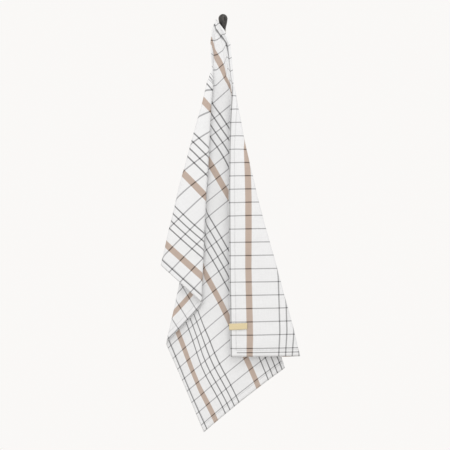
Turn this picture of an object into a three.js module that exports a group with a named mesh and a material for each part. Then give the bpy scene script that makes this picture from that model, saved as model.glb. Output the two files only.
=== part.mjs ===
// Tea towel hanging by one corner from a hook. Millimetres, +Z up. The hook's flat back face is in the plane
// Y = 0 with its centre at the origin, and the towel faces -Y. A depth is a distance in front of that plane.
import * as THREE from 'three';

const CLOTH_WIDTH = 480;
const CLOTH_LENGTH = 700;
const CLOTH_THICKNESS = 1.6;
const CORNER = { x: -13.7, depth: 27, z: 16.7 };

// The folds run down from the hung corner. A place on the cloth is given by its distance from that corner and
// by its angle there, from 90 degrees along the right selvedge to 0 along the top hem. Each row below is one
// fold line, and its values belong to these distances.
const STATIONS = [0, 30, 60, 130, 160, 200, 280, 380, 520, 660, 860];
const FOLDS = [
  { name: 'selvedge', angle: [90, 90, 90, 90, 90, 90, 90, 90, 90, 90, 90],
    x: [-14, 3, 15, 21, 18, 14, 12, 11, 12, 14, 17], arrive: 34, leave: 34, slack: 13 },
  { name: 'right contour', angle: [84, 84, 84, 86, 85.5, 84.5, 80.8, 80.4, 78.8, 78.4, 76.5],
    x: [-14, 0, 11, 17, 24, 31, 47, 70, 106, 143, 190], arrive: 36, leave: 28, slack: 10 },
  { name: 'pleat inner turn', angle: [78, 78, 78, 79, 78, 76, 74.2, 72, 73.6, 74.8, 75.8],
    x: [-14, -4, 5, 10, 16, 19, 20, 22, 64, 98, 150], arrive: 28, leave: 23, slack: 25 },
  { name: 'pleat outer turn', angle: [72, 72, 72, 73, 72, 70, 68, 66, 68.5, 71, 74.5],
    x: [-14, -7, 0, 7, 15, 26, 29, 33, 70, 104, 163], arrive: 23, leave: 18, slack: 11 },
  { name: 'middle panel', angle: [60, 60, 60, 59, 56, 54.3, 54.3, 54.3, 54.3, 54.3, 54.3],
    x: [-14, -14, -13, -13, -19, -24, -28, -32, -36, -40, -53], arrive: 18, leave: 18, slack: 6 },
  { name: 'low ridge', angle: [54, 54, 54, 55, 51, 47, 46, 45, 45, 45, 45],
    x: [-14, -17, -18, -22, -28, -36, -44, -54, -80, -111, -150], arrive: 18, leave: 25, slack: 12 },
  { name: 'valley', angle: [46, 46, 47, 52, 33, 34, 36, 37, 37.2, 37.5, 37.5],
    x: [-14, -20, -22, -20, -20, -24, -28, -34, -40, -46, -55], arrive: 25, leave: 32, slack: 25 },
  { name: 'left contour', angle: [34, 34, 40, 49, 28.5, 28.5, 28, 28, 27.5, 27, 27],
    x: [-14, -22, -25, -22, -31, -40, -61, -88, -120, -152, -215], arrive: 33, leave: 11, slack: 33 },
  { name: 'flap turn', angle: [14, 14, 16, 17, 14, 13, 13, 13, 13, 13, 13],
    x: [-14, -22, -8, 12, 11, 10, 9, 7, 8, 10, 10], arrive: 11, leave: 6, slack: 16 },
  { name: 'top hem', angle: [0, 0, 0, 0, 0, 0, 0, 0, 0, 0, 0],
    x: [-14, -20, 6, -20, -26, -33, -52, -76, -108, -140, -180], arrive: 6, leave: 6, slack: 16 },
];
// How far the layers have come apart in depth at each station, and the depth they gather round.
const SPREAD = [0, 0.42, 0.6, 0.72, 0.85, 1, 1, 1, 1, 1, 1];
const GATHER_DEPTH = 19;
const FOLD_ROUNDING = { least: 0.5, most: 3, fullAt: 50 };
const SLACK_FROM = 160;
// Panels that bow forwards (or back, where less than 0), more and more between two distances.
const BOWS = [
  { panel: 0, depth: 5, from: 0, full: 400 },
  { panel: 3, depth: 6, from: 520, full: 720 },
  { panel: 4, depth: -7, from: 560, full: 760 },
  { panel: 6, depth: 6, from: 0, full: 400 },
];
const KERNEL = 4;
const LEAST_DROP_SHARE = 0.3;
const BEYOND_LAST_STATION = 1.2;
const LEAST_STEP = 1e-6;
const EDGE_ROUNDS = 60;
const EDGE_STEP = 0.7;

// Where a panel's columns of vertices stand between its two folds.
const PANEL_COLUMNS = [0, 0.06, 0.2, 0.5, 0.8, 0.94];
const ROWS = 36;
const ROW_CROWDING = 1.35;

const LABEL = { length: 38, height: 13, thickness: 0.8, overhang: 2, down: 639, tilt: 0.03, steps: 8,
  across: [0, 0.5, 1], beside: 0.02 };
const SEWN_GAP = 0.3;

const HOOK = { sides: 24, ringsOnEnd: 6, endRadius: 9.4 };
// Cross-sections of the hook from its back face to its round end, each tilted from upright by lean degrees.
const HOOK_SECTIONS = [
  { depth: 0, z: 0, halfWidth: 4.2, halfHeight: 14, lean: 0 },
  { depth: 4, z: 0, halfWidth: 4.2, halfHeight: 13, lean: 0 },
  { depth: 9, z: 0.5, halfWidth: 4.5, halfHeight: 11, lean: 12 },
  { depth: 14, z: 4, halfWidth: 6.2, halfHeight: 9, lean: 35 },
  { depth: 17.5, z: 10, halfWidth: 8, halfHeight: 8.4, lean: 60 },
  { depth: 19, z: 16, halfWidth: 9, halfHeight: 9, lean: 80 },
  { depth: 19.3, z: 19.6, halfWidth: 9.4, halfHeight: 9.4, lean: 88 },
];

const LOOP = { width: 6, thickness: 1.3, fromBack: 1.6, clearance: 0.6, narrowFrom: -15, bottom: -38,
  footHalfWidth: 6, footHalfHeight: 6, seat: 0.5, footGap: 1, steps: 14 };
// Where the cloth's back is searched for the loop's foot.
const SEARCH = { from: 20, to: 120, step: 2, positionStep: 0.1 };

const COLOURS = { cloth: 0xe9e6e0, label: 0xe6d9ae, loop: 0xe4e0d8, hook: 0x1d1a18 };

const radians = THREE.MathUtils.degToRad;
const mix = THREE.MathUtils.lerp;

/** Reads a row of values at a distance from the corner, straight between stations. */
function along(values, distance) {
  let i = 1;
  while (i < STATIONS.length - 1 && distance > STATIONS[i]) i += 1;
  const part = Math.min(BEYOND_LAST_STATION, (distance - STATIONS[i - 1]) / (STATIONS[i] - STATIONS[i - 1]));
  return mix(values[i - 1], values[i], part);
}

/** The cloth's angle in degrees at a panel position: a fold's number plus the way to the next fold. */
function angleAt(position, distance) {
  const fold = Math.min(FOLDS.length - 2, Math.floor(position));
  const from = along(FOLDS[fold].angle, distance);
  return mix(from, along(FOLDS[fold + 1].angle, distance), position - fold);
}

/** The folds' route from above at one distance: two points a fold, where it arrives and where it leaves. */
function routeAt(distance) {
  const spread = along(SPREAD, distance);
  const slackShare = Math.min(1, distance / SLACK_FROM);
  const points = [];
  const stops = [];
  let length = 0;
  const add = (x, level, slack) => {
    const depth = mix(CORNER.depth, GATHER_DEPTH, spread) + (level - GATHER_DEPTH) * spread;
    const last = points[points.length - 1];
    if (last) length += Math.hypot(x - last.x, depth - last.depth) + LEAST_STEP;
    points.push({ x, depth, slack: slack * slackShare, length });
  };
  for (const fold of FOLDS) {
    const x = along(fold.x, distance);
    add(x, fold.arrive, fold.slack);
    const arrived = length;
    if (fold.leave !== fold.arrive) add(x, fold.leave, fold.slack);
    stops.push((arrived + length) / 2);
  }
  return { points, stops, length };
}

/** A point of the route at a length along it. */
function onRoute(route, length) {
  const at = Math.max(0, Math.min(route.length, length));
  const { points } = route;
  let i = 1;
  while (i < points.length - 1 && at > points[i].length) i += 1;
  const part = (at - points[i - 1].length) / (points[i].length - points[i - 1].length);
  return {
    x: mix(points[i - 1].x, points[i].x, part),
    depth: mix(points[i - 1].depth, points[i].depth, part),
    slack: mix(points[i - 1].slack, points[i].slack, part),
  };
}

/** How far a panel's middle stands in front of the straight way between its folds. */
function bowAt(panel, distance) {
  const bow = BOWS.find((row) => row.panel === panel);
  return bow ? bow.depth * THREE.MathUtils.smoothstep(distance, bow.from, bow.full) : 0;
}

/** The middle of the cloth's thickness at a panel position and a distance from the corner. */
function clothPoint(position, distance) {
  const route = routeAt(distance);
  const fold = Math.min(FOLDS.length - 2, Math.floor(position));
  const part = position - fold;
  const centre = mix(route.stops[fold], route.stops[fold + 1], part);
  const reach = mix(FOLD_ROUNDING.least, FOLD_ROUNDING.most, Math.min(1, distance / FOLD_ROUNDING.fullAt));
  const sum = { x: 0, depth: 0, slack: 0 };
  for (let k = -KERNEL; k <= KERNEL; k += 1) {
    const sample = onRoute(route, centre + (reach * k) / KERNEL);
    sum.x += sample.x;
    sum.depth += sample.depth;
    sum.slack += sample.slack;
  }
  const count = 2 * KERNEL + 1;
  const x = sum.x / count;
  const depth = sum.depth / count + bowAt(fold, distance) * Math.sin(Math.PI * part);
  const hung = distance - sum.slack / count;
  const aside = Math.hypot(x - CORNER.x, depth - CORNER.depth);
  const drop = Math.sqrt(Math.max(hung * hung - aside * aside, (LEAST_DROP_SHARE * distance) ** 2));
  return new THREE.Vector3(x, -depth, CORNER.z - drop);
}

/** The distance from the corner at which a column of the cloth reaches the side or bottom hem. */
function edgeDistance(position) {
  let distance = CLOTH_LENGTH;
  for (let i = 0; i < EDGE_ROUNDS; i += 1) {
    const angle = radians(angleAt(position, distance));
    const side = CLOTH_WIDTH / Math.max(Math.cos(angle), 1e-9);
    const bottom = CLOTH_LENGTH / Math.max(Math.sin(angle), 1e-9);
    distance = mix(distance, Math.min(side, bottom), EDGE_STEP);
  }
  return distance;
}

/** The panel position of the column that ends in the corner opposite to the hung one. */
function farCornerPosition() {
  const far = Math.hypot(CLOTH_WIDTH, CLOTH_LENGTH);
  const angle = THREE.MathUtils.radToDeg(Math.atan2(CLOTH_LENGTH, CLOTH_WIDTH));
  let fold = 0;
  while (angleAt(fold + 1, far) > angle) fold += 1;
  const from = angleAt(fold, far);
  return fold + (from - angle) / (from - angleAt(fold + 1, far));
}

function columnPositions() {
  const far = farCornerPosition();
  const positions = [];
  for (let fold = 0; fold < FOLDS.length - 1; fold += 1) {
    for (const part of PANEL_COLUMNS) positions.push(fold + part);
  }
  positions.push(FOLDS.length - 1);
  const nearest = positions.reduce((best, p) => (Math.abs(p - far) < Math.abs(best - far) ? p : best));
  positions[positions.indexOf(nearest)] = far;
  return positions;
}

/** Closes a grid of middle points into a solid sheet. rows[0] may be one shared point. */
function sheetGeometry(rows, thickness) {
  const columns = rows[1].length;
  const at = (r, c) => rows[r][Math.min(c, rows[r].length - 1)];
  const normals = rows.map((row, r) => row.map((_, c) => {
    const up = at(Math.max(0, r - 1), c);
    const down = at(Math.min(rows.length - 1, r + 1), c);
    const isPoint = row.length === 1;
    const acrossRow = isPoint ? 1 : r;
    const left = at(acrossRow, isPoint ? 0 : Math.max(0, c - 1));
    const right = at(acrossRow, isPoint ? columns - 1 : Math.min(columns - 1, c + 1));
    const across = new THREE.Vector3().subVectors(right, left);
    return new THREE.Vector3().subVectors(down, up).cross(across).normalize();
  }));
  const positions = [];
  const sides = [1, -1].map((side) => rows.map((row, r) => row.map((point, c) => {
    const p = point.clone().addScaledVector(normals[r][c], (side * thickness) / 2);
    positions.push(p.x, p.y, p.z);
    return positions.length / 3 - 1;
  })));
  const faces = [];
  const tri = (a, b, c) => faces.push(a, b, c);
  sides.forEach((grid, s) => {
    for (let r = 1; r < rows.length; r += 1) {
      for (let c = 1; c < columns; c += 1) {
        const get = (rr, cc) => grid[rr][Math.min(cc, grid[rr].length - 1)];
        const [a, b, d, e] = [get(r - 1, c - 1), get(r - 1, c), get(r, c - 1), get(r, c)];
        const flip = s === 1;
        if (a !== b) tri(a, flip ? b : d, flip ? d : b);
        tri(b, flip ? e : d, flip ? d : e);
      }
    }
  });
  const rim = [];
  const last = rows.length - 1;
  for (let r = 0; r < last; r += 1) rim.push([r, 0]);
  for (let c = 0; c < columns - 1; c += 1) rim.push([last, c]);
  for (let r = last; r > 0; r -= 1) rim.push([r, columns - 1]);
  if (rows[0].length > 1) {
    for (let c = columns - 1; c > 0; c -= 1) rim.push([0, c]);
  }
  rim.forEach(([r, c], i) => {
    const [r2, c2] = rim[(i + 1) % rim.length];
    const [a, b] = [sides[0][r][c], sides[0][r2][c2]];
    const [a2, b2] = [sides[1][r][c], sides[1][r2][c2]];
    tri(a, a2, b);
    tri(b, a2, b2);
  });
  const geometry = new THREE.BufferGeometry();
  geometry.setAttribute('position', new THREE.Float32BufferAttribute(positions, 3));
  geometry.setIndex(faces);
  return geometry;
}

/** Turns every face of a closed geometry round if it encloses a negative volume. */
function facesOut(geometry) {
  const place = geometry.getAttribute('position');
  const faces = [...geometry.index.array];
  let volume = 0;
  const [a, b, c] = [new THREE.Vector3(), new THREE.Vector3(), new THREE.Vector3()];
  for (let i = 0; i < faces.length; i += 3) {
    a.fromBufferAttribute(place, faces[i]);
    b.fromBufferAttribute(place, faces[i + 1]);
    c.fromBufferAttribute(place, faces[i + 2]);
    volume += a.dot(b.cross(c));
  }
  if (volume < 0) {
    for (let i = 0; i < faces.length; i += 3) [faces[i + 1], faces[i + 2]] = [faces[i + 2], faces[i + 1]];
    geometry.setIndex(faces);
  }
  return geometry;
}

/** The least depth of the cloth's back over a small field round a place seen from the front. */
function clothBackDepth(x, z, halfWidth, halfHeight) {
  let least = Infinity;
  for (let distance = SEARCH.from; distance < SEARCH.to; distance += SEARCH.step) {
    for (let position = 0; position <= FOLDS.length - 1; position += SEARCH.positionStep) {
      const p = clothPoint(Math.min(position, FOLDS.length - 1), distance);
      if (Math.abs(p.x - x) < halfWidth && Math.abs(p.z - z) < halfHeight) least = Math.min(least, -p.y);
    }
  }
  return least - CLOTH_THICKNESS / 2;
}

function clothGeometry() {
  const positions = columnPositions();
  const edges = positions.map(edgeDistance);
  const rows = [[new THREE.Vector3(CORNER.x, -CORNER.depth, CORNER.z)]];
  for (let r = 1; r <= ROWS; r += 1) {
    const share = (r / ROWS) ** ROW_CROWDING;
    rows.push(positions.map((position, c) => clothPoint(position, edges[c] * share)));
  }
  return sheetGeometry(rows, CLOTH_THICKNESS);
}

/** The label lies on the side of the cloth that faces forwards, over the right selvedge. */
function labelGeometry() {
  const lift = CLOTH_THICKNESS / 2 + SEWN_GAP + LABEL.thickness / 2;
  const rows = [];
  for (const across of LABEL.across) {
    const row = [];
    for (let i = 0; i <= LABEL.steps; i += 1) {
      const reach = (LABEL.length * i) / LABEL.steps - LABEL.overhang;
      const down = LABEL.down + LABEL.height * (across - 0.5) - LABEL.tilt * reach;
      const u = Math.max(0, reach);
      const distance = Math.hypot(u, down);
      const angle = 90 - THREE.MathUtils.radToDeg(Math.atan2(u, down));
      const from = angleAt(0, distance);
      const part = (from - angle) / (from - angleAt(1, distance));
      const point = clothPoint(part, distance);
      const beside = clothPoint(part + LABEL.beside, distance);
      const outward = new THREE.Vector3(-(beside.y - point.y), beside.x - point.x, 0).normalize();
      if (outward.y > 0) outward.negate();
      point.addScaledVector(outward, lift);
      point.x += Math.min(0, reach);
      row.push(point);
    }
    rows.push(row);
  }
  return sheetGeometry(rows, LABEL.thickness);
}

function hookGeometry() {
  const positions = [];
  const rings = [];
  const addRing = (section) => {
    const lean = radians(section.lean);
    rings.push(positions.length / 3);
    for (let i = 0; i < HOOK.sides; i += 1) {
      const turn = (2 * Math.PI * i) / HOOK.sides;
      const tall = section.halfHeight * Math.sin(turn);
      positions.push(
        section.halfWidth * Math.cos(turn),
        -(section.depth - tall * Math.sin(lean)),
        section.z + tall * Math.cos(lean),
      );
    }
  };
  HOOK_SECTIONS.forEach(addRing);
  const end = HOOK_SECTIONS[HOOK_SECTIONS.length - 1];
  const lean = radians(end.lean);
  for (let k = 1; k < HOOK.ringsOnEnd; k += 1) {
    const turn = (Math.PI / 2) * (k / HOOK.ringsOnEnd);
    const radius = HOOK.endRadius * Math.cos(turn);
    const ahead = HOOK.endRadius * Math.sin(turn);
    addRing({ depth: end.depth + ahead * Math.cos(lean), z: end.z + ahead * Math.sin(lean),
      halfWidth: radius, halfHeight: radius, lean: end.lean });
  }
  const back = positions.length / 3;
  positions.push(0, -HOOK_SECTIONS[0].depth, HOOK_SECTIONS[0].z);
  const tip = positions.length / 3;
  positions.push(0, -(end.depth + HOOK.endRadius * Math.cos(lean)), end.z + HOOK.endRadius * Math.sin(lean));
  const faces = [];
  for (let i = 0; i < HOOK.sides; i += 1) {
    const j = (i + 1) % HOOK.sides;
    faces.push(back, rings[0] + j, rings[0] + i);
    for (let r = 1; r < rings.length; r += 1) {
      const [a, b, c, d] = [rings[r - 1] + i, rings[r - 1] + j, rings[r] + i, rings[r] + j];
      faces.push(a, b, c, b, d, c);
    }
    const last = rings[rings.length - 1];
    faces.push(tip, last + i, last + j);
  }
  const geometry = new THREE.BufferGeometry();
  geometry.setAttribute('position', new THREE.Float32BufferAttribute(positions, 3));
  geometry.setIndex(faces);
  return geometry;
}

/** A band of tape over the hook, seen from the front as a long ring. */
function loopGeometry() {
  const arm = HOOK_SECTIONS[1];
  const inner = arm.halfWidth + LOOP.clearance;
  const top = arm.z + arm.halfHeight + LOOP.clearance - inner;
  const ring = (grow, foot) => {
    const points = [];
    for (let i = 0; i <= LOOP.steps; i += 1) {
      const turn = (Math.PI * i) / LOOP.steps;
      points.push(new THREE.Vector2((inner + grow) * Math.cos(turn), top + (inner + grow) * Math.sin(turn)));
    }
    const [side, toe] = [inner + grow, LOOP.footGap + grow];
    points.push(new THREE.Vector2(-side, LOOP.narrowFrom), new THREE.Vector2(-toe, foot));
    points.push(new THREE.Vector2(toe, foot), new THREE.Vector2(side, LOOP.narrowFrom));
    return points;
  };
  const shape = new THREE.Shape(ring(LOOP.thickness, LOOP.bottom));
  shape.holes.push(new THREE.Path(ring(0, LOOP.bottom + 2 * LOOP.thickness)));
  const geometry = new THREE.ExtrudeGeometry(shape, { depth: LOOP.width, bevelEnabled: false });
  geometry.rotateX(Math.PI / 2);
  const footDepth = clothBackDepth(0, LOOP.bottom, LOOP.footHalfWidth, LOOP.footHalfHeight) - LOOP.seat;
  const leaning = footDepth - LOOP.width - LOOP.fromBack;
  const place = geometry.getAttribute('position');
  const crown = top + inner + LOOP.thickness;
  for (let i = 0; i < place.count; i += 1) {
    const share = (crown - place.getZ(i)) / (crown - LOOP.bottom);
    place.setY(i, place.getY(i) - LOOP.fromBack - leaning * share);
  }
  return geometry;
}

const part = new THREE.Group();

function add(name, geometry, colour, roughness) {
  const material = new THREE.MeshStandardMaterial({ color: colour, roughness, metalness: 0 });
  const mesh = new THREE.Mesh(geometry, material);
  mesh.name = name;
  part.add(mesh);
}

add('towel', facesOut(clothGeometry()), COLOURS.cloth, 0.95);
add('label', facesOut(labelGeometry()), COLOURS.label, 0.85);
add('loop', loopGeometry(), COLOURS.loop, 0.9);
add('hook', facesOut(hookGeometry()), COLOURS.hook, 0.5);

export default part;
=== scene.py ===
"""Looks of a checked tea towel that hangs by one corner from a hook. Metres, +Z up, the towel faces -Y."""
import math

import bpy
import numpy as np
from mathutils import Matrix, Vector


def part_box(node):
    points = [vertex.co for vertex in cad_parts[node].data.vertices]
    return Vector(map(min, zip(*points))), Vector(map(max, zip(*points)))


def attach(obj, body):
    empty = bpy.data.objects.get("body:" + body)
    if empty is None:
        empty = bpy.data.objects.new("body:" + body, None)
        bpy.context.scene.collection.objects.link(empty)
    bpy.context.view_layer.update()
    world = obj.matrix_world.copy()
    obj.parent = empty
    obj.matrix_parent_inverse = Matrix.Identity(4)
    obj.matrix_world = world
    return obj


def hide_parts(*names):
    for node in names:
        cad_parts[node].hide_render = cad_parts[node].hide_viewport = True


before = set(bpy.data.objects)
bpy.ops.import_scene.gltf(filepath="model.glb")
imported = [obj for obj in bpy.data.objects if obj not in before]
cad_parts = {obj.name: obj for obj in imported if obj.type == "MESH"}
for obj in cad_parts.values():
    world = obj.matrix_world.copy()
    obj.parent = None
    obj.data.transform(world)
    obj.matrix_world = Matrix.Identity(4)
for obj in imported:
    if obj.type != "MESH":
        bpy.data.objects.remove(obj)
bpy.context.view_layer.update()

MM = 0.001

# The cloth as it was cut, and the place where its hung corner is.
CLOTH_WIDTH = 0.48
CLOTH_LENGTH = 0.70
CORNER_X, CORNER_DEPTH, CORNER_Z = -0.0137, 0.027, 0.0167
HALF_THICKNESS = 0.0005
HEM_HALF_THICKNESS = 0.0009
HEM_WIDTH = 0.014
HEM_STEP = 0.002

# The folds run down from the hung corner. A row is one fold line, with its values at these distances
# from the corner. Lengths are in millimetres, and angles in degrees.
STATIONS = (0, 30, 60, 130, 160, 200, 280, 380, 520, 660, 860)
FOLDS = [
    dict(name="selvedge", angle=(90, 90, 90, 90, 90, 90, 90, 90, 90, 90, 90),
         x=(-14, 3, 15, 21, 18, 14, 12, 11, 12, 14, 17), arrive=34, leave=34, slack=13),
    dict(name="right contour", angle=(84, 84, 84, 86, 85.5, 84.5, 80.8, 80.4, 78.8, 78.4, 76.5),
         x=(-14, 0, 11, 17, 24, 31, 47, 70, 106, 143, 190), arrive=36, leave=28, slack=10),
    dict(name="pleat inner turn", angle=(78, 78, 78, 79, 78, 76, 74.2, 72, 73.6, 74.8, 75.8),
         x=(-14, -4, 5, 10, 16, 19, 20, 22, 64, 98, 150), arrive=28, leave=23, slack=25),
    dict(name="pleat outer turn", angle=(72, 72, 72, 73, 72, 70, 68, 66, 68.5, 71, 74.5),
         x=(-14, -7, 0, 7, 15, 26, 29, 33, 70, 104, 163), arrive=23, leave=18, slack=11),
    dict(name="middle panel", angle=(60, 60, 60, 59, 56, 54.3, 54.3, 54.3, 54.3, 54.3, 54.3),
         x=(-14, -14, -13, -13, -19, -24, -28, -32, -36, -40, -53), arrive=18, leave=18, slack=6),
    dict(name="low ridge", angle=(54, 54, 54, 55, 51, 47, 46, 45, 45, 45, 45),
         x=(-14, -17, -18, -22, -28, -36, -44, -54, -80, -111, -150), arrive=18, leave=25, slack=12),
    dict(name="valley", angle=(46, 46, 47, 52, 33, 34, 36, 37, 37.2, 37.5, 37.5),
         x=(-14, -20, -22, -20, -20, -24, -28, -34, -40, -46, -55), arrive=25, leave=32, slack=25),
    dict(name="left contour", angle=(34, 34, 40, 49, 28.5, 28.5, 28, 28, 27.5, 27, 27),
         x=(-14, -22, -25, -22, -31, -40, -61, -88, -120, -152, -215), arrive=33, leave=11, slack=33),
    dict(name="flap turn", angle=(14, 14, 16, 17, 14, 13, 13, 13, 13, 13, 13),
         x=(-14, -22, -8, 12, 11, 10, 9, 7, 8, 10, 10), arrive=11, leave=6, slack=16),
    dict(name="top hem", angle=(0, 0, 0, 0, 0, 0, 0, 0, 0, 0, 0),
         x=(-14, -20, 6, -20, -26, -33, -52, -76, -108, -140, -180), arrive=6, leave=6, slack=16),
]
# The share of their depths that the layers have, at the same distances. The rest is gathered to one depth.
SPREAD = (0, 0.42, 0.6, 0.72, 0.85, 1, 1, 1, 1, 1, 1)
GATHER_DEPTH = 19
# The folds are rounded by taking the mean of samples on either side of a point, within a reach.
ROUNDING_LEAST, ROUNDING_MOST, ROUNDING_FULL_AT = 0.5, 3, 50
SAMPLES_A_SIDE = 6
SLACK_FULL_AT = 160
LEAST_DROP_SHARE = 0.3
# Small values that keep divisions defined.
LEAST_STEP = 1e-6
NEARLY_NONE = 1e-12
# Panels that bow forwards (or back, where less than 0), more and more between two distances.
BOWS = [
    dict(panel=0, depth=5, start=0, full=400),
    dict(panel=3, depth=6, start=520, full=720),
    dict(panel=4, depth=-7, start=560, full=760),
    dict(panel=6, depth=6, start=0, full=400),
]

# The cloth's mesh. Its columns crowd towards the folds, and its rows towards the hung corner.
COLUMNS_A_PANEL = 22
COLUMN_CROWDING = 0.8
ROWS = 196
ROW_CROWDING = 1.35
RIM_SHARE = 0.6

# A column's end and the far corner's place are found in rounds.
EDGE_ROUNDS = 60
EDGE_KEPT = 0.3
HALVINGS = 50

# The creases are sums of waves, with heights and lengths in millimetres. They fade out at the hung corner.
CREASES_FULL_AT = 250
DRIFT_WAVES = [
    dict(height=0.25, length=97, start=1.3),
    dict(height=0.12, length=41, start=0.4),
]
FOLD_WAVES = [
    dict(height=0.5, turns=23, drift=5, start=0),
    dict(height=0.35, turns=41, drift=-7, start=2.1),
]
PATCHES = dict(height=0.5, length_u=31, sway_u=0.8, sway_u_length=53,
               length_v=47, sway_v=1.1, sway_v_length=37, sway_v_start=2)
RIPPLES = dict(height=0.2, length=9, sway_u=2.5, sway_u_length=60, sway_v=1.5, sway_v_length=83,
               fade_length=71, fade_start=0.6)

# The woven check, measured from the right selvedge and from the top hem.
BAND_FIRST = 0.0407
BAND_PERIOD = 0.13305
BAND_WIDTH = 0.0129
FINE_FIRST = 0.0605
FINE_SPACING = 0.0142
FINE_COUNT = 4
FINE_WIDTH = 0.0027
FINE_SHARE_FRONT, FINE_SHARE_BACK = 0.76, 0.58
LAST_FINE_LINE = 0.4696
HEM_FOLDED_LINE = 0.0026
CROSS_FIRST = 0.0108
CROSS_SPACING = 0.0269
CROSS_WIDTH = 0.0021
BOTTOM_FOLDED_LINE = 0.6917
THREAD = 0.0009
SEAM_INSET = 0.0012
SEAM_WIDTH = 0.0014
STITCH_LENGTH = 0.0028
# The share of a line's width over which it falls off at each side.
BAND_SOFT, LINE_SOFT, CROSS_SOFT, SEAM_SOFT = 0.08, 0.25, 0.4, 0.5

GROUND = (0.735, 0.74, 0.748)
BROWN = (0.455, 0.365, 0.31)
DARK = (0.035, 0.034, 0.036)
CROSS = (0.13, 0.128, 0.135)
BROWN_CROSSED = (0.09, 0.068, 0.056)

# The threads of the cloth: noise drawn out along each thread, and a slight wobble of the whole check.
SLUBS_ACROSS, SLUBS_ALONG = 900, 40
WOBBLE, WOBBLE_SCALE = 0.0012, 14
THREAD_SWING = 0.35
THREAD_SHARE = 0.4
STITCH_DEPTH = 1.3
CRUMPLE_NOISE = dict(scale=55, detail=4)
CRUMPLE_BUMP = dict(distance=0.004, strength=0.35)
WEAVE_BUMP = dict(distance=0.0004, strength=0.8)
COTTON = {"Roughness": 0.92, "Sheen Weight": 0.12, "Specular IOR Level": 0.2}
# Each pair says what a value is multiplied by, and what is then added to it.
STITCH_RANGE = (0.3, 0.7)
# Painted shade: the colour is darker in the stitched seam's groove.
STITCH_GROOVE_PAINTED_SHADE = (-0.2, 1.0)
SLUB_SHADE = (0.22, 0.89)
# Painted shade: the cloth's colour is darker where the threads dip under each other.
WEAVE_PAINTED_SHADE = (0.1, 0.95)
CROSS_SHARE = (0.33, 0.65)
FINE_CROSSED = 0.2

# The tapes of the label and the loop. Their colour's share where the ribs are low is painted shade in the rib
# grooves, mixed with a random fibre tone.
LABEL_TAPE = dict(name="label_cream", colour=(0.70, 0.59, 0.36), groove_shade_share=0.84)
LOOP_TAPE = dict(name="loop_cotton", colour=(0.76, 0.73, 0.67), groove_shade_share=0.8)
RIB_SCALE, RIB_DISTORTION = 260, 1.5
RIB_SHARE = 0.6
TAPE_FIBRES = (900, 900, 250)
TAPE_BUMP = dict(distance=0.0003, strength=0.7)
TAPE = {"Roughness": 0.85}

# The hook's finish.
STREAKS = (420, 420, 75)
STREAK_DETAIL = 5
STREAK_SHARE = 0.75
SPECK_NOISE = dict(scale=700, detail=2)
STREAK_RANGE = (0.42, 0.64)
HOOK_DARKEST, HOOK_LIGHTEST = (0.003, 0.0027, 0.0027), (0.064, 0.058, 0.053)
# What the streaks are multiplied by for the roughness, and what is then added.
HOOK_ROUGHNESS = (0.3, 0.28)
HOOK_BUMP = dict(distance=0.0004, strength=0.5)

# Places where the cloth's own weight has pulled the check aside, in millimetres.
PULLED = [
    dict(u=400, v=590, radius=70, aside=-8),
    dict(u=330, v=250, radius=60, aside=-5),
    dict(u=120, v=250, radius=45, aside=4),
]

# The label, in millimetres. BESIDE is a part of a panel, for finding which way the cloth faces.
LABEL = dict(length=38, height=13, thickness=0.7, overhang=2, down=639, tilt=0.03, swell=0.5)
LABEL_COLUMNS, LABEL_ROWS = 24, 9
LABEL_ROOM = 1
SEWN_GAP = 0.25
LEAST_REACH = 0.01
BESIDE = 0.02

# The hook's cross-sections in millimetres, from its back face to its round end, leaning back by lean degrees.
HOOK_SECTIONS = [
    dict(depth=0, z=0, half_width=3.6, half_height=13.4, lean=0),
    dict(depth=0.6, z=0, half_width=4.2, half_height=13.8, lean=0),
    dict(depth=4, z=0, half_width=4.2, half_height=13, lean=0),
    dict(depth=9, z=0.5, half_width=4.5, half_height=11, lean=12),
    dict(depth=14, z=4, half_width=6.2, half_height=9, lean=35),
    dict(depth=17.5, z=10, half_width=8, half_height=8.4, lean=60),
    dict(depth=19, z=16, half_width=9, half_height=9, lean=80),
    dict(depth=19.3, z=19.6, half_width=9.4, half_height=9.4, lean=88),
]
HOOK_SIDES = 64
HOOK_STEPS = 6
HOOK_END_RINGS = 16
# The last ring's angle from the widest one, in degrees. A flat cap closes the rest.
HOOK_LAST_RING = 89

# The loop of tape over the hook, in millimetres.
LOOP = dict(width=6, thickness=1.3, from_back=1.6, inner=4.8, arc_z=8.8, narrow_from=-15, bottom=-38, toe=1.8)
LOOP_ARC_STEPS = 28
LOOP_SMOOTHING = 3
LOOP_CORNER_CUT = 0.25
LOOP_SECTION_POINTS = 20
LOOP_SQUARENESS = 0.45

# The floor, the surround and the lights.
FLOOR = dict(size=2.4, location=(0, -0.95, -1.25))
FLOOR_COLOUR = (0.66, 0.65, 0.635)
FLOOR_ROUGHNESS = 0.8
SURROUND = (0.955, 0.94, 0.925)
LIGHTS = [
    dict(name="key", place=(0.3, -1.4, 1.6), size=1.2, power=13),
    dict(name="fill", place=(-0.5, -2.2, -0.3), size=1.6, power=10),
    dict(name="behind", place=(0.4, 1.8, 0.4), size=1.8, power=9),
]
LIGHTS_AIM = (0, -0.02, -0.4)

# The photograph is 450 pixels wide, and one pixel is 2.041 mm on the towel's plane.
PHOTO_SIDE = 450
PIXEL = 0.002041
HOOK_PIXEL_X, ORIGIN_PIXEL_Y = 223, 28
FOCAL_LENGTH, SENSOR = 85, 36
TOWEL_PLANE = -0.022


def smooth_step(values):
    """0 below 0, 1 above 1, and a smooth rise between them."""
    inside = np.clip(values, 0, 1)
    return inside * inside * (3 - 2 * inside)


def unit(vectors):
    """The same directions with length 1."""
    return vectors / np.maximum(np.linalg.norm(vectors, axis=-1, keepdims=True), NEARLY_NONE)


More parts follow.
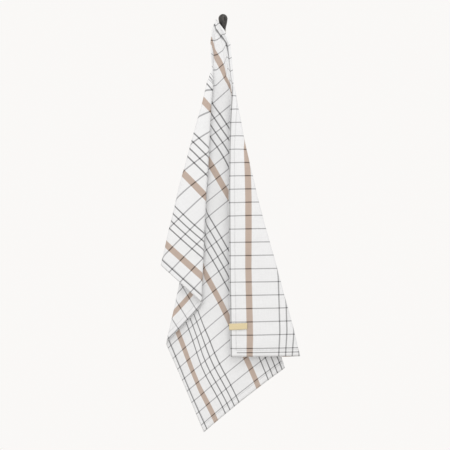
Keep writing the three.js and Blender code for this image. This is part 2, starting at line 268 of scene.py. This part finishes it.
def grid_normals(grid):
    """The unit normals of a grid of points. On a sheet they point to its back."""
    return unit(np.cross(np.gradient(grid, axis=0), np.gradient(grid, axis=1)))


def wave(place, length, start=0):
    """A wave from -1 to 1 whose length is 2 pi times the one given."""
    return np.sin(place / length + start)


def interpolate(values, distance):
    """A fold's values at distances from the corner, in millimetres."""
    return np.interp(distance, STATIONS, values)


def angle_at(position, distance):
    """The cloth's angle in degrees at panel positions, where the whole part is the fold."""
    angles = np.stack([interpolate(fold["angle"], distance) for fold in FOLDS], axis=-1)
    first = np.clip(np.floor(position).astype(int), 0, len(FOLDS) - 2)
    rows = np.arange(len(first))
    return angles[rows, first] + (position - first) * (angles[rows, first + 1] - angles[rows, first])


def cloth_points(position, distance):
    """The middle of the cloth at panel positions and distances from the corner, in millimetres."""
    spread = interpolate(SPREAD, distance)
    share = np.minimum(1, distance / SLACK_FULL_AT)
    gathered = CORNER_DEPTH / MM + (GATHER_DEPTH - CORNER_DEPTH / MM) * np.minimum(1, spread)
    xs, depths, slacks, first_of, last_of = [], [], [], [], []
    for fold in FOLDS:
        x = interpolate(fold["x"], distance)
        first_of.append(len(xs))
        for level in dict.fromkeys((fold["arrive"], fold["leave"])):
            xs.append(x)
            depths.append(gathered + (level - GATHER_DEPTH) * spread)
            slacks.append(fold["slack"] * share)
        last_of.append(len(xs) - 1)
    xs, depths, slacks = (np.stack(a, axis=-1) for a in (xs, depths, slacks))
    steps = np.hypot(np.diff(xs), np.diff(depths)) + LEAST_STEP
    lengths = np.concatenate([np.zeros((len(steps), 1)), np.cumsum(steps, axis=1)], axis=1)
    stops = (lengths[:, first_of] + lengths[:, last_of]) / 2
    panel = np.clip(np.floor(position).astype(int), 0, len(FOLDS) - 2)
    part = position - panel
    rows = np.arange(len(panel))
    centre = stops[rows, panel] + part * (stops[rows, panel + 1] - stops[rows, panel])
    reach = ROUNDING_LEAST + (ROUNDING_MOST - ROUNDING_LEAST) * np.minimum(1, distance / ROUNDING_FULL_AT)
    total = np.zeros((3, len(panel)))
    for k in range(-SAMPLES_A_SIDE, SAMPLES_A_SIDE + 1):
        at = np.clip(centre + reach * k / SAMPLES_A_SIDE, 0, lengths[:, -1])
        left = np.clip((lengths <= at[:, None]).sum(axis=1) - 1, 0, lengths.shape[1] - 2)
        way = (at - lengths[rows, left]) / steps[rows, left]
        for sum_row, table in zip(total, (xs, depths, slacks)):
            sum_row += table[rows, left] + way * (table[rows, left + 1] - table[rows, left])
    x, depth, slack = total / (2 * SAMPLES_A_SIDE + 1)
    for bow in BOWS:
        grown = smooth_step((distance - bow["start"]) / (bow["full"] - bow["start"]))
        depth = depth + (panel == bow["panel"]) * bow["depth"] * np.sin(np.pi * part) * grown
    hung = distance - slack
    aside = np.hypot(x - CORNER_X / MM, depth - CORNER_DEPTH / MM)
    drop = np.sqrt(np.maximum(hung**2 - aside**2, (LEAST_DROP_SHARE * distance) ** 2))
    return np.stack([x, -depth, CORNER_Z / MM - drop], axis=-1)


def edge_distance(position):
    """The distance from the corner at which each column reaches the side or bottom hem."""
    distance = np.full(len(position), CLOTH_LENGTH / MM)
    for _ in range(EDGE_ROUNDS):
        angle = np.radians(angle_at(position, distance))
        side = CLOTH_WIDTH / MM / np.maximum(np.cos(angle), NEARLY_NONE)
        bottom = CLOTH_LENGTH / MM / np.maximum(np.sin(angle), NEARLY_NONE)
        distance = EDGE_KEPT * distance + (1 - EDGE_KEPT) * np.minimum(side, bottom)
    return distance


def column_positions():
    """Columns crowd towards the folds, and one ends in the cloth's far corner."""
    steps = np.arange(COLUMNS_A_PANEL) / COLUMNS_A_PANEL
    crowded = steps - COLUMN_CROWDING * np.sin(2 * np.pi * steps) / (2 * np.pi)
    positions = np.concatenate([fold + crowded for fold in range(len(FOLDS) - 1)] + [[len(FOLDS) - 1]])
    far = np.full(1, math.hypot(CLOTH_WIDTH, CLOTH_LENGTH) / MM)
    wanted = math.degrees(math.atan2(CLOTH_LENGTH, CLOTH_WIDTH))
    low, high = 0.0, float(len(FOLDS) - 1)
    for _ in range(HALVINGS):
        middle = (low + high) / 2
        if angle_at(np.array([middle]), far)[0] > wanted:
            low = middle
        else:
            high = middle
    positions[np.abs(positions - low).argmin()] = low
    return positions


def creases(u, v):
    """Small uneven waves of the cloth, in millimetres, mostly along the folds."""
    distance = np.hypot(u, v)
    angle = np.arctan2(v, u)
    drift = sum(term["height"] * wave(distance, term["length"], term["start"]) for term in DRIFT_WAVES)
    along_folds = 0
    for term in FOLD_WAVES:
        phase = term["turns"] * angle + term["drift"] * drift + term["start"]
        along_folds = along_folds + term["height"] * np.sin(phase)
    sway = PATCHES["sway_u"] * wave(v, PATCHES["sway_u_length"])
    patches = wave(u, PATCHES["length_u"], sway)
    sway = PATCHES["sway_v"] * wave(u, PATCHES["sway_v_length"], PATCHES["sway_v_start"])
    patches = patches * wave(v, PATCHES["length_v"], sway)
    phase = v / RIPPLES["length"] + RIPPLES["sway_u"] * wave(u, RIPPLES["sway_u_length"])
    phase = phase + RIPPLES["sway_v"] * wave(v, RIPPLES["sway_v_length"])
    ripples = RIPPLES["height"] * np.sin(phase)
    ripples = ripples * wave(u, RIPPLES["fade_length"], RIPPLES["fade_start"])
    height = along_folds + PATCHES["height"] * patches + ripples
    return height * np.minimum(1, distance / CREASES_FULL_AT)


def pulled_check(u, v):
    """The check's place across the cloth, moved where the cloth is pulled aside."""
    across = u.copy()
    for place in PULLED:
        away = np.hypot(u - place["u"], v - place["v"]) / place["radius"]
        across += place["aside"] * np.exp(-(away**2))
    return across


def make_mesh(name, points, faces, uv=None, materials=(), slots=None):
    """A smooth-shaded mesh object in metres that rides on the body."""
    mesh = bpy.data.meshes.new(name)
    mesh.from_pydata([tuple(p) for p in points], [], faces)
    mesh.update()
    mesh.polygons.foreach_set("use_smooth", [True] * len(mesh.polygons))
    for material in materials:
        mesh.materials.append(material)
    if slots is not None:
        mesh.polygons.foreach_set("material_index", slots)
    if uv is not None:
        layer = mesh.uv_layers.new(name="cloth")
        corners = np.empty(len(mesh.loops), dtype=np.int32)
        mesh.loops.foreach_get("vertex_index", corners)
        layer.data.foreach_set("uv", np.asarray(uv, dtype=np.float32)[corners].ravel())
    obj = bpy.data.objects.new(name, mesh)
    bpy.context.scene.collection.objects.link(obj)
    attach(obj, "root")
    return obj


def sheet_mesh(name, grid, half, uv, materials):
    """Closes a grid of middle points, in millimetres, into a sheet with a rounded rim.

    Its first material is the front, and its last is the back.
    """
    normal = grid_normals(grid)
    rows, columns = grid.shape[:2]
    count = rows * columns
    front = grid - normal * half[..., None]
    back = grid + normal * half[..., None]
    index = np.arange(count).reshape(rows, columns)
    a, b, c, d = index[:-1, :-1], index[:-1, 1:], index[1:, 1:], index[1:, :-1]
    front_faces = np.stack([a, b, c, d], axis=-1).reshape(-1, 4)
    back_faces = np.stack([a, d, c, b], axis=-1).reshape(-1, 4) + count
    loop = np.concatenate([index[:-1, 0], index[-1, :-1], index[:0:-1, -1], index[0, :0:-1]])
    flat_grid, flat_half = grid.reshape(-1, 3), half.ravel()
    along_rim = np.roll(flat_grid[loop], 1, axis=0) - np.roll(flat_grid[loop], -1, axis=0)
    outward = unit(np.cross(along_rim, normal.reshape(-1, 3)[loop]))
    rim = flat_grid[loop] + outward * flat_half[loop][:, None] * RIM_SHARE
    rim_index = 2 * count + np.arange(len(loop))
    following, rim_following = np.roll(loop, -1), np.roll(rim_index, -1)
    rim_front = np.stack([loop, following, rim_following, rim_index], axis=-1)
    rim_back = np.stack([rim_index, rim_following, following + count, loop + count], axis=-1)
    points = np.concatenate([front.reshape(-1, 3), back.reshape(-1, 3), rim]) * MM
    faces = np.concatenate([front_faces, rim_front, back_faces, rim_back])
    slots = np.zeros(len(faces), dtype=np.int32)
    slots[len(front_faces) + len(rim_front):] = len(materials) - 1
    flat_uv = uv.reshape(-1, 2)
    all_uv = np.concatenate([flat_uv, flat_uv, flat_uv[loop]]) * MM
    return make_mesh(name, points, faces.tolist(), all_uv, materials, slots)


class Nodes:
    """Short calls for a material's node tree."""

    def __init__(self, name):
        self.material = bpy.data.materials.new(name)
        self.material.use_nodes = True
        self.tree = self.material.node_tree
        self.shader = self.tree.nodes["Principled BSDF"]

    def new(self, kind, **settings):
        node = self.tree.nodes.new(kind)
        for key, value in settings.items():
            setattr(node, key, value)
        return node

    def wire(self, source, socket):
        if hasattr(source, "is_output"):
            self.tree.links.new(source, socket)
        else:
            socket.default_value = source

    def set_shader(self, values):
        for name, value in values.items():
            self.shader.inputs[name].default_value = value

    def math(self, operation, *values):
        node = self.new("ShaderNodeMath", operation=operation)
        for value, socket in zip(values, node.inputs):
            self.wire(value, socket)
        return node.outputs[0]

    def blend(self, first, second, share):
        """The first value by its share, and the second by what is left."""
        return self.math("ADD", self.math("MULTIPLY", first, share), self.math("MULTIPLY", second, 1 - share))

    def mix(self, share, first, second):
        node = self.new("ShaderNodeMix", data_type="RGBA")
        self.wire(share, node.inputs["Factor"])
        self.wire(first if hasattr(first, "is_output") else (*first, 1), node.inputs["A"])
        self.wire(second if hasattr(second, "is_output") else (*second, 1), node.inputs["B"])
        return node.outputs["Result"]

    def noise(self, vector, scale=1.0, detail=3):
        node = self.new("ShaderNodeTexNoise")
        self.wire(vector, node.inputs["Vector"])
        node.inputs["Scale"].default_value = scale
        node.inputs["Detail"].default_value = detail
        return node.outputs["Fac"]

    def stretched(self, vector, factors):
        node = self.new("ShaderNodeVectorMath", operation="MULTIPLY")
        self.wire(vector, node.inputs[0])
        node.inputs[1].default_value = factors
        return node.outputs[0]

    def line(self, place, centre, width, soft=LINE_SOFT):
        """1 on a line of this width round centre, falling off at its sides."""
        away = self.math("ABSOLUTE", self.math("SUBTRACT", place, centre))
        inside = self.math("SUBTRACT", width / 2 * (1 + soft), away)
        level = self.math("MINIMUM", self.math("MAXIMUM", inside, 0.0), width * soft)
        return self.math("MULTIPLY", level, 1 / (width * soft))

    def most(self, *values):
        top = values[0]
        for value in values[1:]:
            top = self.math("MAXIMUM", top, value)
        return top

    def bump(self, height, distance, strength, normal=None):
        node = self.new("ShaderNodeBump")
        node.inputs["Strength"].default_value = strength
        node.inputs["Distance"].default_value = distance
        self.wire(height, node.inputs["Height"])
        if normal is not None:
            self.wire(normal, node.inputs["Normal"])
        return node.outputs["Normal"]


def weave(n, u, v, uv):
    """Two values from 0 to 1: the threads' way over and under each other, and how thick they are."""
    turn = 2 * math.pi / THREAD
    warp = n.math("SINE", n.math("MULTIPLY", u, turn))
    weft = n.math("SINE", n.math("MULTIPLY", v, turn))
    over = n.math("MULTIPLY_ADD", n.math("MULTIPLY", warp, weft), THREAD_SWING, 0.5)
    slub_warp = n.noise(n.stretched(uv, (SLUBS_ACROSS, SLUBS_ALONG, 1)))
    slub_weft = n.noise(n.stretched(uv, (SLUBS_ALONG, SLUBS_ACROSS, 1)))
    return over, n.blend(slub_warp, slub_weft, 0.5)


def towel_material(name, back):
    """The woven check. The back shows the hems folded over, with their lines."""
    n = Nodes(name)
    uv = n.new("ShaderNodeUVMap", uv_map="cloth").outputs["UV"]
    split = n.new("ShaderNodeSeparateXYZ")
    n.wire(uv, split.inputs[0])
    wobble = n.math("MULTIPLY", n.math("SUBTRACT", n.noise(uv, WOBBLE_SCALE), 0.5), WOBBLE)
    u = n.math("ADD", split.outputs["X"], wobble)
    v = n.math("ADD", split.outputs["Y"], wobble)
    over, slubs = weave(n, u, v, uv)

    turn = n.math("SUBTRACT", u, BAND_FIRST - BAND_PERIOD / 2)
    in_period = n.math("SUBTRACT", n.math("FLOORED_MODULO", turn, BAND_PERIOD), BAND_PERIOD / 2)
    band = n.line(in_period, 0.0, BAND_WIDTH, BAND_SOFT)
    from_band = n.math("FLOORED_MODULO", n.math("SUBTRACT", u, BAND_FIRST), BAND_PERIOD)
    fine = n.most(
        *(n.line(from_band, FINE_FIRST + i * FINE_SPACING, FINE_WIDTH) for i in range(FINE_COUNT)),
        n.line(u, LAST_FINE_LINE, FINE_WIDTH),
    )
    fine_inside = n.math("MULTIPLY", fine, n.math("LESS_THAN", u, LAST_FINE_LINE + FINE_WIDTH))
    left_edge = n.math("SUBTRACT", CLOTH_WIDTH, u)
    from_top = n.math("SUBTRACT", v, CROSS_FIRST - CROSS_SPACING / 2)
    in_cross = n.math("SUBTRACT", n.math("FLOORED_MODULO", from_top, CROSS_SPACING), CROSS_SPACING / 2)
    cross = n.line(in_cross, 0.0, CROSS_WIDTH, CROSS_SOFT)
    if back:
        side = n.most(*(n.math("LESS_THAN", away, HEM_WIDTH) for away in (u, left_edge)))
        inside = n.math("SUBTRACT", 1.0, side)
        folded = n.most(*(n.line(away, HEM_FOLDED_LINE, FINE_WIDTH) for away in (u, left_edge)))
        fine_inside = n.most(n.math("MULTIPLY", fine_inside, inside), folded)
        folded_bottom = n.line(v, BOTTOM_FOLDED_LINE, CROSS_WIDTH, CROSS_SOFT)
        cross = n.most(cross, n.math("MULTIPLY", folded_bottom, inside))

    from_bottom = n.math("SUBTRACT", CLOTH_LENGTH, v)
    edge = n.math("MINIMUM", n.math("MINIMUM", u, left_edge), n.math("MINIMUM", v, from_bottom))
    seam = n.line(edge, HEM_WIDTH - SEAM_INSET, SEAM_WIDTH, SEAM_SOFT)
    stitches = n.math("SINE", n.math("MULTIPLY", n.math("ADD", u, v), 2 * math.pi / STITCH_LENGTH))
    stitched = n.math("MULTIPLY", seam, n.math("MULTIPLY_ADD", stitches, *STITCH_RANGE))

    colour = n.mix(band, GROUND, BROWN)
    cross_colour = n.mix(band, CROSS, BROWN_CROSSED)
    cross_share = n.math("MULTIPLY", cross, n.math("MULTIPLY_ADD", band, *CROSS_SHARE))
    colour = n.mix(cross_share, colour, cross_colour)
    fine_share = FINE_SHARE_BACK if back else FINE_SHARE_FRONT
    fine_share = n.math("MULTIPLY", fine_inside, n.math("MULTIPLY_ADD", cross, FINE_CROSSED, fine_share))
    colour = n.mix(fine_share, colour, DARK)
    shade = n.math("MULTIPLY_ADD", slubs, *SLUB_SHADE)
    # Painted shade along the stitched groove of the hem seam.
    shade = n.math("MULTIPLY", shade, n.math("MULTIPLY_ADD", stitched, *STITCH_GROOVE_PAINTED_SHADE))
    # Painted shade in the weave, darker where the threads go under.
    shade = n.math("MULTIPLY", shade, n.math("MULTIPLY_ADD", over, *WEAVE_PAINTED_SHADE))
    toned = n.new("ShaderNodeVectorMath", operation="SCALE")
    n.wire(colour, toned.inputs[0])
    n.wire(shade, toned.inputs["Scale"])
    n.wire(toned.outputs[0], n.shader.inputs["Base Color"])

    height = n.blend(over, slubs, THREAD_SHARE)
    height = n.math("SUBTRACT", height, n.math("MULTIPLY", stitched, STITCH_DEPTH))
    crumpled = n.bump(n.noise(uv, **CRUMPLE_NOISE), **CRUMPLE_BUMP)
    n.wire(n.bump(height, normal=crumpled, **WEAVE_BUMP), n.shader.inputs["Normal"])
    n.set_shader(COTTON)
    return n.material


def tape_material(name, colour, groove_shade_share):
    """A plain woven tape. Its colour is darker where its ribs are low, which is painted shade, with a random
    fibre tone.
    """
    n = Nodes(name)
    place = n.new("ShaderNodeTexCoord").outputs["Object"]
    ribs = n.new("ShaderNodeTexWave", wave_type="BANDS", bands_direction="DIAGONAL")
    n.wire(place, ribs.inputs["Vector"])
    ribs.inputs["Scale"].default_value = RIB_SCALE
    ribs.inputs["Distortion"].default_value = RIB_DISTORTION
    height = n.blend(ribs.outputs["Fac"], n.noise(n.stretched(place, TAPE_FIBRES)), RIB_SHARE)
    # Painted shade: darker where the ribs are low, together with a random fibre tone.
    n.wire(n.mix(height, tuple(groove_shade_share * c for c in colour), colour), n.shader.inputs["Base Color"])
    n.wire(n.bump(height, **TAPE_BUMP), n.shader.inputs["Normal"])
    n.set_shader(TAPE)
    return n.material


def hook_material():
    """Dark finish with long grain-like streaks."""
    n = Nodes("hook_dark")
    place = n.new("ShaderNodeTexCoord").outputs["Object"]
    streaks = n.noise(n.stretched(place, STREAKS), detail=STREAK_DETAIL)
    share = n.blend(streaks, n.noise(place, **SPECK_NOISE), STREAK_SHARE)
    ramp = n.new("ShaderNodeMapRange")
    n.wire(share, ramp.inputs["Value"])
    ramp.inputs["From Min"].default_value = STREAK_RANGE[0]
    ramp.inputs["From Max"].default_value = STREAK_RANGE[1]
    n.wire(n.mix(ramp.outputs["Result"], HOOK_DARKEST, HOOK_LIGHTEST), n.shader.inputs["Base Color"])
    n.wire(n.math("MULTIPLY_ADD", share, *HOOK_ROUGHNESS), n.shader.inputs["Roughness"])
    n.wire(n.bump(share, **HOOK_BUMP), n.shader.inputs["Normal"])
    return n.material


def make_towel():
    """The folded cloth, with its hems and creases."""
    positions = column_positions()
    edges = edge_distance(positions)
    shares = np.linspace(0, 1, ROWS + 1)[1:] ** ROW_CROWDING
    distance = shares[:, None] * edges[None, :]
    position = np.broadcast_to(positions, distance.shape)
    grid = cloth_points(position.ravel(), distance.ravel()).reshape(*distance.shape, 3)
    angle = np.radians(angle_at(position.ravel(), distance.ravel())).reshape(distance.shape)
    u, v = distance * np.cos(angle), distance * np.sin(angle)
    grid = grid + grid_normals(grid) * creases(u, v)[..., None]
    inset = np.minimum(np.minimum(u, CLOTH_WIDTH / MM - u), np.minimum(v, CLOTH_LENGTH / MM - v))
    hem = 1 - smooth_step((inset - HEM_WIDTH / MM) / (HEM_STEP / MM) + 1)
    half = (HALF_THICKNESS + (HEM_HALF_THICKNESS - HALF_THICKNESS) * hem) / MM
    uv = np.stack([pulled_check(u, v), v], axis=-1)
    materials = [towel_material("towel_front", False), towel_material("towel_back", True)]
    towel = sheet_mesh("towel_cloth", grid, half, uv, materials)
    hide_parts("towel")
    return towel


def make_label():
    """A bare label on the side hem, where the back of the cloth faces forwards."""
    low, high = (np.array(corner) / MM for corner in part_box("label"))
    reach = np.linspace(0, LABEL["length"], LABEL_COLUMNS) - LABEL["overhang"]
    across = np.linspace(-0.5, 0.5, LABEL_ROWS)
    reach, across = np.meshgrid(reach, across)
    down = LABEL["down"] + LABEL["height"] * across - LABEL["tilt"] * reach
    u = np.maximum(LEAST_REACH, reach)
    distance = np.hypot(u, down).ravel()
    angle = np.degrees(np.arctan2(down, u)).ravel()
    right = angle_at(np.ones(len(distance)), distance)
    part = (90 - angle) / (90 - right)
    points = cloth_points(part, distance)
    beside = cloth_points(part + BESIDE, distance)
    outward = np.stack([beside[:, 1] - points[:, 1], points[:, 0] - beside[:, 0], 0 * part], axis=-1)
    outward = unit(outward * np.sign(-outward[:, 1:2]))
    lift = HEM_HALF_THICKNESS / MM + SEWN_GAP + LABEL["thickness"] / 2
    swell = LABEL["swell"] * np.sin(np.pi * (reach.ravel() + LABEL["overhang"]) / LABEL["length"])
    normal_to_front = np.sign(np.cross(beside - points, (0, 0, -1))[:, 1])
    crease = -creases(u, down).ravel() * normal_to_front
    points = points + outward * (lift + crease + swell)[:, None]
    points[:, 0] += np.minimum(0, reach).ravel()
    points[:, 2] = np.clip(points[:, 2], low[2] - LABEL_ROOM, high[2] + LABEL_ROOM)
    grid = points.reshape(LABEL_ROWS, LABEL_COLUMNS, 3)
    half = np.full(grid.shape[:2], LABEL["thickness"] / 2)
    uv = np.stack([reach + LABEL["overhang"], (across + 0.5) * LABEL["height"]], axis=-1)
    label = sheet_mesh("label_tape", grid, half, uv, [tape_material(**LABEL_TAPE)])
    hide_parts("label")
    return label


def swept_mesh(name, rings, material, closed):
    """A skin over rings of points (rings, points, 3) in millimetres. Open ends are closed with flat caps."""
    count, around = rings.shape[:2]
    index = np.arange(count * around).reshape(count, around)
    following = np.roll(index, -1, axis=0) if closed else index[1:]
    first = index if closed else index[:-1]
    quads = np.stack([first, np.roll(first, -1, axis=1), np.roll(following, -1, axis=1), following], axis=-1)
    faces = quads.reshape(-1, 4).tolist()
    if not closed:
        faces += [index[0, ::-1].tolist(), index[-1].tolist()]
    return make_mesh(name, rings.reshape(-1, 3) * MM, faces, materials=[material])


def fine_rows(table, steps):
    """Rows of a table with smooth rows added between them."""
    padded = np.concatenate([2 * table[:1] - table[1:2], table, 2 * table[-1:] - table[-2:-1]])
    rows = []
    for a, b, c, d in zip(padded, padded[1:], padded[2:], padded[3:]):
        for t in np.arange(steps) / steps:
            rows.append(0.5 * (2 * b + (c - a) * t + (2 * a - 5 * b + 4 * c - d) * t**2
                               + (3 * b - a - 3 * c + d) * t**3))
    return np.array(rows + [table[-1]])


def make_hook():
    """The same sections as the solid, with a smooth skin between them."""
    keys = ("depth", "z", "half_width", "half_height", "lean")
    table = np.array([[section[key] for key in keys] for section in HOOK_SECTIONS], dtype=float)
    table = np.concatenate([table[:2], fine_rows(table[1:], HOOK_STEPS)[1:]])
    end = table[-1]
    turn = np.linspace(0, math.pi / 2, HOOK_END_RINGS + 1)[1:-1]
    turn = np.append(turn, math.radians(HOOK_LAST_RING))
    lean = math.radians(end[4])
    ahead, radius = end[2] * np.sin(turn), end[2] * np.cos(turn)
    cap = np.stack([end[0] + ahead * math.cos(lean), end[1] + ahead * math.sin(lean), radius, radius,
                    np.full(len(turn), end[4])], axis=-1)
    depth, z, half_width, half_height, lean = np.concatenate([table, cap]).T[..., None]
    around = np.linspace(0, 2 * math.pi, HOOK_SIDES, endpoint=False)
    tall = half_height * np.sin(around)
    tilt = np.radians(lean)
    x, y, z = half_width * np.cos(around), tall * np.sin(tilt) - depth, z + tall * np.cos(tilt)
    rings = np.stack([x, y, z], axis=-1)
    hook = swept_mesh("hook_body", rings, hook_material(), closed=False)
    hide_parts("hook")


def squared(values):
    """A sine or cosine for a section between a circle and a square."""
    return np.sign(values) * np.abs(values) ** LOOP_SQUARENESS


def make_loop():
    """A soft tape that goes over the hook and comes together behind the cloth."""
    half = LOOP["thickness"] / 2
    turn = np.linspace(0, math.pi, LOOP_ARC_STEPS + 1)
    radius = LOOP["inner"] + half
    path = list(zip(radius * np.cos(turn), LOOP["arc_z"] + radius * np.sin(turn)))
    toe, foot = LOOP["toe"] + half, LOOP["bottom"] + half
    path += [(-radius, LOOP["narrow_from"]), (-toe, foot), (toe, foot), (radius, LOOP["narrow_from"])]
    path = np.array(path)
    for _ in range(LOOP_SMOOTHING):
        following = np.roll(path, -1, axis=0)
        cuts = [(1 - cut) * path + cut * following for cut in (LOOP_CORNER_CUT, 1 - LOOP_CORNER_CUT)]
        path = np.stack(cuts, axis=1).reshape(-1, 2)
    crown = LOOP["arc_z"] + LOOP["inner"] + LOOP["thickness"]
    lean = -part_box("loop")[0][1] / MM - LOOP["width"] - LOOP["from_back"]
    share = (crown - path[:, 1]) / (crown - LOOP["bottom"])
    depth = LOOP["from_back"] + LOOP["width"] / 2 + lean * share
    ahead = unit(np.roll(path, -1, axis=0) - np.roll(path, 1, axis=0))
    outward = np.stack([ahead[:, 1], -ahead[:, 0]], axis=-1)
    around = np.linspace(0, 2 * math.pi, LOOP_SECTION_POINTS, endpoint=False)
    thick, wide = half * squared(np.cos(around)), LOOP["width"] / 2 * squared(np.sin(around))
    rings = np.empty((len(path), len(around), 3))
    rings[..., 0] = path[:, :1] + outward[:, :1] * thick
    rings[..., 1] = -depth[:, None] + wide
    rings[..., 2] = path[:, 1:] + outward[:, 1:] * thick
    loop = swept_mesh("loop_tape", rings, tape_material(**LOOP_TAPE), closed=True)
    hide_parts("loop")


def make_stage():
    """A plain floor below, soft light and a pale surround."""
    bpy.ops.mesh.primitive_plane_add(**FLOOR)
    floor = bpy.context.object
    floor.name = "floor"
    pale = Nodes("floor_pale")
    pale.set_shader({"Base Color": (*FLOOR_COLOUR, 1), "Roughness": FLOOR_ROUGHNESS})
    floor.data.materials.append(pale.material)
    world = bpy.data.worlds.new("surround")
    bpy.context.scene.world = world
    world.use_nodes = True
    world.node_tree.nodes["Background"].inputs["Color"].default_value = (*SURROUND, 1)
    world.node_tree.nodes["Background"].inputs["Strength"].default_value = 1.0
    for lamp in LIGHTS:
        data = bpy.data.lights.new(lamp["name"], "AREA")
        data.size = lamp["size"]
        data.energy = lamp["power"]
        light = bpy.data.objects.new(lamp["name"], data)
        bpy.context.scene.collection.objects.link(light)
        light.location = lamp["place"]
        aim = np.array(LIGHTS_AIM) - np.array(lamp["place"])
        yaw, pitch = math.atan2(aim[0], aim[1]), math.atan2(aim[2], math.hypot(aim[0], aim[1]))
        light.rotation_euler = (math.pi / 2 + pitch, 0, -yaw)


def make_camera():
    """A camera straight in front, whose picture matches the photograph's pixels at the towel's depth."""
    data = bpy.data.cameras.new("camera")
    data.lens = FOCAL_LENGTH
    data.sensor_width = SENSOR
    camera = bpy.data.objects.new("camera", data)
    bpy.context.scene.collection.objects.link(camera)
    middle = PHOTO_SIDE / 2
    away = PHOTO_SIDE * PIXEL * FOCAL_LENGTH / SENSOR
    camera.location = ((middle - HOOK_PIXEL_X) * PIXEL, TOWEL_PLANE - away, (ORIGIN_PIXEL_Y - middle) * PIXEL)
    camera.rotation_euler = (math.pi / 2, 0, 0)
    bpy.context.scene.camera = camera


make_camera()
make_stage()
towel = make_towel()
label = make_label()
make_hook()
make_loop()
bpy.context.scene.view_settings.view_transform = "Standard"
